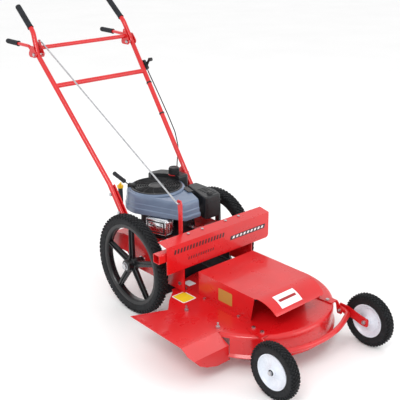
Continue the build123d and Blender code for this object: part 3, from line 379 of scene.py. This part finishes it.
# ---------------------------------------------------------------- tyres
def tyre(name, node, body, pitch_count, crown, lug_rows):
    """A tyre with small raised blocks: the carcass is turned, one pitch of blocks is copied round.

    A row of lugs is (place across, share of a pitch, (width, length, turn), (sink, lean)), angles in degrees.
    """
    low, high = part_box(node)
    width = crown["width"]
    centre = Vector((crown["x"], (low.y + high.y) / 2, (low.z + high.z) / 2))
    outer, inner = crown["outer"], crown["inner"]
    half, base = width / 2, outer - crown["lug"]
    profile = [
        (-half + 0.006, inner), (-half + 0.003, inner + 0.003), (-half + 0.002, inner + 0.010),
        (-half, inner + (base - inner) * 0.45), (-half + 0.001, inner + (base - inner) * 0.68),
        (-half + 0.005, base - 0.007), (-half * 0.55, base - 0.0015), (0, base),
        (half * 0.55, base - 0.0015), (half - 0.005, base - 0.007),
        (half - 0.001, inner + (base - inner) * 0.68), (half, inner + (base - inner) * 0.45),
        (half - 0.002, inner + 0.010), (half - 0.003, inner + 0.003), (half - 0.006, inner),
    ]
    carcass = lathe(profile, centre, (1, 0, 0), steps=96, closed=True)
    lugs = []
    for across, share, (lug_width, lug_length, turn), (sink, lean) in lug_rows:
        for sign in ((-1, 1) if across else (1,)):
            place = (
                Matrix.Translation(centre)
                @ Matrix.Rotation(share * 2 * math.pi / pitch_count, 4, "X")
                @ Matrix.Translation((sign * across, 0, base - 0.0015 - sink + crown["lug"] / 2))
                @ Matrix.Rotation(sign * math.radians(lean), 4, "Y")
                @ Matrix.Rotation(sign * math.radians(turn), 4, "Z")
            )
            lugs.append(block((lug_width, lug_length, crown["lug"] + 0.003), place, bevel=0, taper=0.72))
    ring = repeat(join(lugs), pitch_count, centre, (1, 0, 0))
    made = join([carcass, ring])
    return settle(made, name, body, TREAD, "tread_rubber")


def rear_tyres():
    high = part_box("rear_tyres")[1]
    width = 54 * MM
    rows = [
        (0.0, 0.0, (0.012, 0.014, 45), (0.0, 0)),
        (0.0105, 0.5, (0.011, 0.013, 45), (0.0006, 6)),
        (0.0188, 0.0, (0.010, 0.014, 25), (0.0036, 30)),
        (0.0250, 0.5, (0.010, 0.013, 0), (0.0118, 66)),
    ]
    for side, name in ((-1, "rear_tyre_right"), (1, "rear_tyre_left")):
        crown = {"width": width, "x": side * (high.x - width / 2), "outer": high.z / 2, "inner": 206 * MM,
                 "lug": 0.005}
        piece = tyre(name, "rear_tyres", "rear_wheel_set", 66, crown, rows)
        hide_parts("rear_tyres")


def front_tyres():
    rows = [
        (0.0, 0.0, (0.010, 0.011, 45), (0.0, 0)),
        (0.0090, 0.5, (0.009, 0.0105, 45), (0.0006, 6)),
        (0.0156, 0.0, (0.008, 0.011, 25), (0.0036, 30)),
        (0.0206, 0.5, (0.008, 0.010, 0), (0.0105, 66)),
    ]
    for side in ("left", "right"):
        low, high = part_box(f"front_tyre_{side}")
        crown = {"width": high.x - low.x, "x": (low.x + high.x) / 2, "outer": (high.z - low.z) / 2,
                 "inner": 79 * MM, "lug": 0.004}
        piece = tyre(f"front_tread_{side}", f"front_tyre_{side}", f"front_wheel_{side}", 44, crown, rows)
        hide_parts(f"front_tyre_{side}")


# ---------------------------------------------------------------- wheels
def rear_wheels():
    """Moulded wheels with five ribbed spokes between a long hub and a channel rim."""
    low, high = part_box("rear_rims")
    tyre_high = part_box("rear_tyres")[1]
    axle_z = (low.z + high.z) / 2
    middle = tyre_high.x - 27 * MM
    for side, name in ((-1, "rear_wheel_right"), (1, "rear_wheel_left")):
        centre = Vector((side * middle, 0, axle_z))
        axis = Vector((side, 0, 0))
        rim = lathe(
            [(-0.021, 0.206), (-0.021, 0.193), (-0.016, 0.187), (-0.006, 0.184), (0.008, 0.184),
             (0.015, 0.187), (0.0195, 0.191), (0.021, 0.200), (0.021, 0.206), (0.016, 0.2055),
             (-0.016, 0.2055)],
            centre, axis, steps=96, closed=True,
        )
        hub_out = high.x - middle
        hub_in = middle - 234 * MM
        hub = lathe(
            [(-hub_in, 0.0101), (-hub_in, 0.020), (-0.022, 0.024), (-0.014, 0.036), (0.010, 0.036),
             (0.014, 0.031), (0.018, 0.030), (hub_out - 0.003, 0.0295), (hub_out, 0.027),
             (hub_out - 0.001, 0.018), (hub_out - 0.001, 0.0101)],
            centre, axis, steps=48, closed=True,
        )
        # one spoke along +Z: a plank with a raised rib on its outer face
        spoke = block((0.020, 0.032, 0.160), centre + Vector((0, 0, 0.107)), 0.004, 3, taper=0.86)
        rib = block((0.014, 0.010, 0.156), centre + Vector((side * 0.011, 0, 0.107)), 0.0025, 2, taper=0.7)
        spoke = join([spoke, rib])
        spokes = repeat(spoke, 5, centre, (1, 0, 0))
        wheel = join([rim, hub, spokes])
        settle(wheel, name, "rear_wheel_set", SPOKE, "spoke_plastic", "rear_rims")


def front_wheels():
    """White pressed rims, dished, with a rolled edge and a dark seal at the hub."""
    for side, sign in (("left", 1), ("right", -1)):
        low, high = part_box(f"front_rim_{side}")
        tyre_low, tyre_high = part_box(f"front_tyre_{side}")
        centre = Vector(((tyre_low.x + tyre_high.x) / 2, (low.y + high.y) / 2, (low.z + high.z) / 2))
        axis = (sign, 0, 0)
        out = max(abs(low.x), abs(high.x)) - abs(centre.x)
        back = abs(centre.x) - min(abs(low.x), abs(high.x))
        rim = lathe(
            [(-back, 0.0061), (-back, 0.018), (-0.010, 0.019), (-0.004, 0.030), (-0.002, 0.052),
             (-0.010, 0.066), (-0.016, 0.072), (-0.020, 0.075), (-0.0205, 0.079), (0.0205, 0.079),
             (0.0195, 0.0755), (0.014, 0.0735), (0.008, 0.067), (0.0035, 0.056), (0.0035, 0.036),
             (0.008, 0.026), (0.014, 0.019), (out - 0.002, 0.0175), (out, 0.016), (out, 0.0061)],
            centre, axis, steps=72, closed=True,
        )
        settle(rim, f"front_rim_pressing_{side}", f"front_wheel_{side}", WHITE, "white_enamel",
               f"front_rim_{side}")
        seal = lathe(
            [(out - 0.001, 0.0062), (out - 0.001, 0.0135), (out + 0.0008, 0.0135), (out + 0.0008, 0.0062)],
            centre, axis, steps=36, closed=True,
        )
        settle(seal, f"front_hub_seal_{side}", f"front_wheel_{side}", PLASTIC, "black_plastic")


# ---------------------------------------------------------------- engine covers
def arc(centre, radius, start, end, steps):
    """Points on a circle, angles in degrees."""
    return [
        (centre[0] + radius * math.cos(math.radians(start + (end - start) * i / steps)),
         centre[1] + radius * math.sin(math.radians(start + (end - start) * i / steps)))
        for i in range(steps + 1)
    ]


def shroud():
    """The engine's pressed cover: a round back that narrows to the front, two swept steps round its wall."""
    low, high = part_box("blower_housing")
    centre = ((low.x + high.x) / 2, high.y - 158 * MM)
    outline = arc(centre, 158 * MM, -14, 190, 36)
    outline += arc((-0.033, -0.104), 16 * MM, 190, 268, 5)
    outline += arc((0.052, -0.102), 16 * MM, 272, 346, 5)
    piece = begin_point((*outline[0], low.z))
    draw_line([(*point, low.z) for point in outline])
    bpy.ops.mesh.select_all(action="SELECT")
    bpy.ops.mesh.edge_face_add()
    # (rise, share of size kept) from the skirt up to the shoulder: two ledges run round the wall
    for rise, keep in (
        (0.028, 1.0), (0.004, 0.972), (0.022, 1.0), (0.004, 0.985), (0.024, 1.0), (0.008, 0.992),
        (0.005, 0.988), (0.004, 0.98),
    ):
        bpy.ops.mesh.extrude_region_move(TRANSFORM_OT_translate={"value": (0, 0, rise)})
        bpy.ops.transform.resize(value=(keep, keep, 1), center_override=(0.0, 0.10, 0.5))
    piece = close(piece)
    bpy.ops.object.mode_set(mode="EDIT")
    # the wall's ledges and the shoulder dip towards the front
    for line, dip in ((-0.02, 0.004), (-0.07, 0.005)):
        select_where(piece, lambda corner: corner.y < line and corner.z > low.z + 0.02)
        bpy.ops.transform.translate(value=(0, 0, -dip))
    bpy.ops.object.mode_set(mode="OBJECT")
    apply(piece, "BEVEL", width=0.0016, segments=3, limit_method="ANGLE", angle_limit=math.radians(24))
    settle(piece, "engine_shroud", "chassis", GREY, "housing_grey", "blower_housing")

    # black baffle that closes the cover's underside round the crankshaft
    baffle = lathe([(0.0, 0.022), (0.0, 0.148), (0.0025, 0.148), (0.0025, 0.022)],
                   (-0.005, 0.160, low.z - 0.003), (0, 0, 1), steps=48, closed=True)
    settle(baffle, "shroud_baffle", "chassis", BLACK_PAINT, "black_enamel")

    # raised collar round the fan screen
    collar = lathe(
        [(0.0, 0.141), (0.0, 0.146), (0.006, 0.1435), (0.009, 0.139), (0.009, 0.133), (0.0, 0.133)],
        (0, CRANK_Y, high.z - 0.004), (0, 0, 1), steps=96, closed=True,
    )
    settle(collar, "shroud_collar", "chassis", GREY, "housing_grey")


def fan_screen():
    """Round black screen: rings and curved ribs over a flat floor, a plain cap in the middle."""
    low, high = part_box("blower_grille")
    centre = Vector((0, CRANK_Y, low.z))
    floor = lathe([(0.0, 0.0), (0.0015, 0.0), (0.0015, 0.128), (0.0, 0.128)], centre, (0, 0, 1), 72, True)
    parts = [floor]
    for radius in (0.052, 0.064, 0.076, 0.088, 0.100, 0.112, 0.124):
        parts.append(lathe(
            [(0.001, radius - 0.0026), (0.001, radius + 0.0026), (0.0085, radius + 0.0016),
             (0.0092, radius), (0.0085, radius - 0.0016)],
            centre, (0, 0, 1), 72, True,
        ))
    parts.append(lathe(
        [(0.001, 0.0), (0.001, 0.044), (0.009, 0.043), (0.0105, 0.040), (0.0105, 0.030), (0.009, 0.028),
         (0.009, 0.0)],
        centre, (0, 0, 1), 60, False,
    ))
    parts.append(lathe(
        [(0.0, 0.126), (0.0, 0.1335), (0.006, 0.1335), (0.0095, 0.131), (0.0095, 0.127)],
        centre, (0, 0, 1), 96, True,
    ))
    # a curved rib, drawn as a bent strip and copied round
    inner = [(0.042 + 0.086 * i / 8, 18 * i / 8) for i in range(9)]
    side_a = [(r * math.cos(math.radians(a)), r * math.sin(math.radians(a))) for r, a in inner]
    side_b = [(r * math.cos(math.radians(a) + 0.0042 / r), r * math.sin(math.radians(a) + 0.0042 / r))
              for r, a in reversed(inner)]
    strip = [centre + Vector((x, y, 0.001)) for x, y in side_a + side_b]
    rib = cut_plate(strip, (0, 0, 0.0060))
    parts.append(repeat(rib, 12, centre, (0, 0, 1)))
    settle(join(parts), "fan_screen", "chassis", PLASTIC, "black_plastic", "blower_grille")

    # the starter's rope guide: a moulded snout that points at the handle
    towards_handle = Matrix.Rotation(math.radians(130), 4, "Z")
    snout_place = Matrix.Translation((-0.099, 0.239, high.z - 0.012)) @ towards_handle
    snout = block((0.044, 0.024, 0.022), snout_place, 0.006, 4, 0.8)
    settle(snout, "rope_guide", "chassis", PLASTIC, "black_plastic")


def air_box():
    """Ribs, latch knob and seam on the air cleaner's moulded case."""
    low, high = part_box("air_cleaner")
    parts = []
    for index in range(6):
        y = low.y + 0.030 + index * 0.017
        parts.append(block((0.052, 0.006, 0.005), (high.x - 0.050, y, high.z), 0.0018, 2))
    parts.append(block((0.006, 0.090, 0.030), (high.x - 0.002, (low.y + high.y) / 2, high.z - 0.050),
                       0.002, 2))
    settle(join(parts), "air_box_ribs", "chassis", PLASTIC, "black_plastic")
    knob = lathe(
        [(0, 0.0), (0, 0.015), (0.010, 0.014), (0.014, 0.011), (0.014, 0.0)],
        (low.x + 0.050, low.y + 0.030, high.z - 0.001), (0, 0, 1), 32,
    )
    settle(knob, "air_box_knob", "chassis", PLASTIC, "black_plastic")
    seam = cut_plate(
        [Vector(p) for p in (
            (low.x + 0.004, low.y - 0.0015, high.z - 0.034), (high.x - 0.020, low.y - 0.0015, high.z - 0.034),
            (high.x - 0.020, low.y - 0.0015, high.z - 0.030), (low.x + 0.004, low.y - 0.0015, high.z - 0.030),
        )],
        (0, 0.003, 0),
    )
    settle(seam, "air_box_seam", "chassis", PLASTIC, "black_plastic")


def exhaust():
    """Chrome muffler case with a rolled rim, and a slotted plate in its dark recess."""
    low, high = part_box("muffler")
    middle = (low.z + high.z) / 2
    engine = Matrix.Translation((0, CRANK_Y, 0)) @ Matrix.Rotation(ENGINE_TURN, 4, "Z")

    def on_engine(x, y, z):
        return engine @ Matrix.Translation((x, y, z))

    case = block((0.070, 0.136, 0.088), on_engine(-0.118, -0.100, middle), 0.022, 6)
    settle(case, "muffler_case", "chassis", CHROME, "chrome_plate", "muffler")
    # bright rolled rim, dark recess, and a pressed plate in it with two slots
    rim = block((0.010, 0.122, 0.078), on_engine(-0.152, -0.100, middle), 0.0048, 4)
    settle(rim, "muffler_rim", "chassis", CHROME, "chrome_plate")
    recess = block((0.003, 0.106, 0.062), on_engine(-0.1562, -0.100, middle), 0.0013, 2)
    settle(recess, "muffler_recess", "chassis", BLACK_PAINT, "black_enamel")
    plate = block((0.003, 0.090, 0.048), on_engine(-0.1576, -0.100, middle), 0.0013, 3)
    settle(plate, "muffler_plate", "chassis", CHROME, "chrome_plate")
    slots = [block((0.002, 0.032, 0.006), on_engine(-0.1590, -0.100 + y, middle + 0.006), 0.0009, 2)
             for y in (-0.022, 0.022)]
    settle(join(slots), "muffler_slots", "chassis", BLACK_PAINT, "black_enamel")


def caps():
    """Knurled fuel cap, and the red ring round the tank's neck."""
    low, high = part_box("fuel_cap")
    middle = Vector(((low.x + high.x) / 2, (low.y + high.y) / 2, low.z))
    height = high.z - low.z
    body = lathe(
        [(0.0, 0.0165), (0.0, 0.026), (0.002, 0.0272), (height - 0.004, 0.0262), (height - 0.001, 0.024),
         (height, 0.021), (height, 0.012), (height - 0.002, 0.010), (height - 0.002, 0.0)],
        middle, (0, 0, 1), 60,
    )
    ridge = block((0.0035, 0.0028, height - 0.010), middle + Vector((0.0268, 0, height / 2 - 0.001)),
                  0.001, 1)
    ridges = repeat(ridge, 30, middle, (0, 0, 1))
    settle(join([body, ridges]), "knurled_cap", "fuel_cap_body", PLASTIC, "black_plastic", "fuel_cap")
    collar = lathe(
        [(0.0, 0.0165), (0.0, 0.031), (0.0022, 0.031), (0.0034, 0.029), (0.0034, 0.0165)],
        (middle.x, middle.y, low.z - 0.0040), (0, 0, 1), 48, True,
    )
    settle(collar, "fuel_neck_ring", "chassis", RED_PRINT, "red_enamel")


def starter():
    """Ribbed starter handle on its short piece of rope."""
    pull = Vector((-0.12, 0.93, 0.34)).normalized()
    start = Vector((-0.118, 0.269, 0.572))
    handle = lathe(
        [(0.0, 0.0), (0.0, 0.008), (0.003, 0.0108), (0.010, 0.0118), (0.022, 0.0102), (0.034, 0.0112),
         (0.046, 0.0102), (0.058, 0.0112), (0.070, 0.0104), (0.080, 0.0118), (0.086, 0.0098), (0.088, 0.006),
         (0.088, 0.0)],
        start, pull, 36,
    )
    settle(handle, "starter_handle", "starter", GRIP, "grip_rubber", "starter_grip")
    rope = lathe([(-0.030, 0.0), (-0.030, 0.0030), (0.004, 0.0030), (0.004, 0.0)], start, pull, 16)
    settle(rope, "starter_rope", "starter", GRIP, "grip_rubber")


def painted_shade_flap():
    """Black rubber sheet hanging behind the deck, between the side plates and below the belts: painted shade,
    a dark sheet standing in for the shadow under the dash.
    """
    flap = block((0.434, 0.003, 0.142), (0, -0.1605, 0.191), 0.0012, 2)
    batten = block((0.434, 0.004, 0.010), (0, -0.1570, 0.252), 0.001, 2)
    settle(join([flap, batten]), "painted_shade_flap", "chassis", GRIP, "grip_rubber")


# ---------------------------------------------------------------- handle fittings
def ribbed_grip(name, start, end, bore, outer, body, flange):
    """Slip-on grip: fine rings along it, a flange at its inner end and a domed tip."""
    start, end = Vector(start), Vector(end)
    length = (end - start).length
    profile = [(0.0, bore), (0.0, flange), (0.004, flange), (0.006, outer)]
    along = 0.010
    while along < length - 0.016:
        profile += [(along, outer), (along + 0.0015, outer - 0.0009), (along + 0.0035, outer - 0.0009),
                    (along + 0.005, outer)]
        along += 0.0085
    profile += [(length - 0.010, outer), (length - 0.003, outer - 0.001), (length - 0.0005, outer - 0.005),
                (length, 0.0)]
    return settle(lathe(profile, start, end - start, 40), name, body, GRIP, "grip_rubber")


def grips():
    """Grips on the two handle ends and on the two hand levers."""
    inner, outer_end = Vector((0.288, 0.782, 1.297)), Vector((0.285, 0.922, 1.413))
    run = (outer_end - inner).normalized()
    lever_inner, lever_end = Vector((0.305, 0.900, 1.224)), Vector((0.306, 1.026, 1.225))
    lever_run = (lever_end - lever_inner).normalized()
    for side, word in ((1, "left"), (-1, "right")):
        flip = Vector((side, 1, 1))
        start, end = inner + run * 0.028, outer_end + run * 0.004
        piece = ribbed_grip(f"handle_grip_{word}", start * flip, end * flip, 0.0127, 0.0152, "chassis",
                            0.0165)
        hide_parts("handle_grips")
        start = lever_inner + lever_run * 0.012
        piece = ribbed_grip(f"lever_grip_{word}", start * flip, (start + lever_run * 0.118) * flip,
                            0.009, 0.0135, "bail", 0.0148)
        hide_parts("bail_grips")


def throttle_dress():
    """Bands that tie the throttle's cable to the handle's tube."""
    ties = []
    for tube in ((0.2801, 0.5556, 0.9832), (0.2645, 0.4300, 0.8351)):
        ties.append(lathe([(-0.004, 0.0130), (-0.004, 0.0146), (0.004, 0.0146), (0.004, 0.0130)],
                          tube, (0.08, 0.644, 0.761), 28, True))
    settle(join(ties), "cable_ties", "chassis", PLASTIC, "black_plastic")


def rod_clip():
    """Spring clip that keeps the rod's upper end in its lug."""
    clip = lathe(
        [(-0.002, 0.0042), (-0.002, 0.0095), (0.002, 0.0095), (0.002, 0.0042)],
        (-0.2672, 0.757, 1.250), (1, 0, 0), 28, True,
    )
    settle(clip, "rod_clip", "rod", ZINC, "zinc_steel")


def ignition():
    """Rubber lead of the spark plug."""
    forward = Vector((math.sin(ENGINE_TURN), -math.cos(ENGINE_TURN), 0))
    seat = Vector((0, CRANK_Y, 0.372)) + forward * 0.195
    tip = seat + forward * 0.034
    points = [tip - forward * 0.006, tip + Vector((0, -0.004, 0.012)), tip + Vector((-0.006, 0.006, 0.040)),
              tip + Vector((-0.012, 0.040, 0.064)), tip + Vector((-0.012, 0.075, 0.072))]
    curve = bpy.data.curves.new("plug_lead", "CURVE")
    curve.dimensions = "3D"
    curve.bevel_depth = 0.0035
    curve.bevel_resolution = 3
    spline = curve.splines.new("NURBS")
    spline.points.add(len(points) - 1)
    for knot, place in zip(spline.points, points):
        knot.co = (*place, 1)
    spline.order_u = 3
    spline.use_endpoint_u = True
    lead = bpy.data.objects.new("plug_lead", curve)
    bpy.context.scene.collection.objects.link(lead)
    lead.data.materials.append(GRIP)
    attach(lead, "chassis")


# ---------------------------------------------------------------- labels
def rounded(x, y, width, length, radius):
    """Corner points of an upright rectangle with rounded corners."""
    points = []
    for quarter, (side, end) in enumerate(((1, 1), (-1, 1), (-1, -1), (1, -1))):
        corner = (x + side * (width / 2 - radius), y + end * (length / 2 - radius))
        points += arc(corner, radius, quarter * 90, quarter * 90 + 90, 4)
    return points


def label(name, corners, depth, finish, slot="white_enamel", body="chassis"):
    """A thin plate standing a hair off its surface."""
    return settle(cut_plate([Vector(c) for c in corners], depth), name, body, finish, slot)


def labels():
    """Plain shapes where the machine carries its stickers: no lettering."""
    deck_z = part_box("deck_shell")[1].z
    hood_low, hood_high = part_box("belt_hood")
    dash_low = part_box("dash_shield")[0]
    lift, thin = 0.0003, 0.0003

    # two plain stickers on the deck: yellow with a white edge, and white
    z = deck_z + lift
    for name, outline, rise, finish, slot in (
        ("sticker_edge", rounded(-0.250, -0.346, 0.080, 0.090, 0.010), 0, WHITE_PRINT, "white_enamel"),
        ("sticker_field", rounded(-0.250, -0.346, 0.070, 0.080, 0.006), thin, YELLOW_PRINT, "yellow_plastic"),
        ("note_sticker", rounded(-0.136, -0.253, 0.044, 0.050, 0.003), 0, WHITE_PRINT, "white_enamel"),
    ):
        label(name, [(x, y, z + rise) for x, y in outline], (0, 0, thin), finish, slot)

    # gold plate on the hood's side wall
    x = hood_low.x + 26 * MM
    plate = rounded(-0.550, 0.245, 0.090, 0.062, 0.006)
    label("side_plate_label", [(x - lift, y, height) for y, height in plate], (-thin, 0, 0), GOLD_PRINT,
          "yellow_plastic")

    # dash: a black strip with slanted white marks, and a row of dark slanted marks
    y = dash_low.y - lift
    strip = [(0.064, 0.381), (0.300, 0.381), (0.306, 0.403), (0.068, 0.401)]
    label("dash_strip", [(a, y, b) for a, b in strip], (0, -thin, 0), BLACK_PRINT, "black_plastic")
    marks = []
    for index in range(9):
        a = 0.078 + index * 0.0245
        corners = [(a, y - thin, 0.386), (a + 0.013, y - thin, 0.386), (a + 0.019, y - thin, 0.3975),
                   (a + 0.006, y - thin, 0.3975)]
        marks.append(cut_plate([Vector(c) for c in corners], (0, -thin, 0)))
    settle(join(marks), "dash_strip_marks", "chassis", WHITE_PRINT, "white_enamel")
    marks = []
    for index in range(17):
        a = -0.288 + index * 0.0187
        corners = [(a, y, 0.412), (a + 0.009, y, 0.412), (a + 0.014, y, 0.434), (a + 0.005, y, 0.434)]
        marks.append(cut_plate([Vector(c) for c in corners], (0, -thin, 0)))
    for index in range(11):
        a = -0.204 + index * 0.0152
        corners = [(a, y, 0.363), (a + 0.0055, y, 0.363), (a + 0.009, y, 0.377), (a + 0.0035, y, 0.377)]
        marks.append(cut_plate([Vector(c) for c in corners], (0, -thin, 0)))
    settle(join(marks), "dash_marks", "chassis", BLACK_PRINT, "black_plastic")

    # a plain white badge with a red stripe, laid on the hood's curved front flap
    for name, x, y, length, width, finish, slot, rise in (
        ("hood_badge", -0.040, -0.800, 0.130, 0.062, WHITE_PRINT, "white_enamel", 0.0004),
        ("hood_badge_stripe", -0.040, -0.800, 0.106, 0.012, RED_PRINT, "red_enamel", 0.0009),
    ):
        sheet = begin(bpy.ops.mesh.primitive_grid_add, x_subdivisions=8, y_subdivisions=16, size=1,
                      location=(x, y, hood_high.z + 0.05))
        bpy.ops.transform.resize(value=(length, width, 1), center_override=(x, y, hood_high.z + 0.05))
        sheet = close(sheet)
        apply(sheet, "SHRINKWRAP", wrap_method="PROJECT", use_project_z=True, use_negative_direction=True,
              use_positive_direction=False, offset=rise, target=nodes["belt_hood"])
        apply(sheet, "SOLIDIFY", thickness=0.0003, offset=1.0)
        settle(sheet, name, "chassis", finish, slot)

    # small dark note on the cover's top
    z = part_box("blower_housing")[1].z
    note = [(0.070, -0.012), (0.098, -0.020), (0.118, 0.050), (0.090, 0.058)]
    label("cover_note", [(x, y, z - 0.0035) for x, y in note], (0, 0, 0.004), BLACK_PRINT, "black_plastic")


rear_tyres()
front_tyres()
rear_wheels()
front_wheels()
shroud()
fan_screen()
air_box()
exhaust()
caps()
starter()
painted_shade_flap()
grips()
throttle_dress()
rod_clip()
ignition()
labels()

floor = begin(bpy.ops.mesh.primitive_plane_add, size=60, location=(0, 0, 0))
floor = close(floor)
floor.name = "studio_floor"
# Matt paper backdrop: an even white that takes a soft shadow.
PAPER = new_finish("white_backdrop_paper", ("#FAFAFA", "#FDFDFD"), (0.88, 0.92), 0.8, IOR=1.3)
floor.data.materials.append(PAPER)
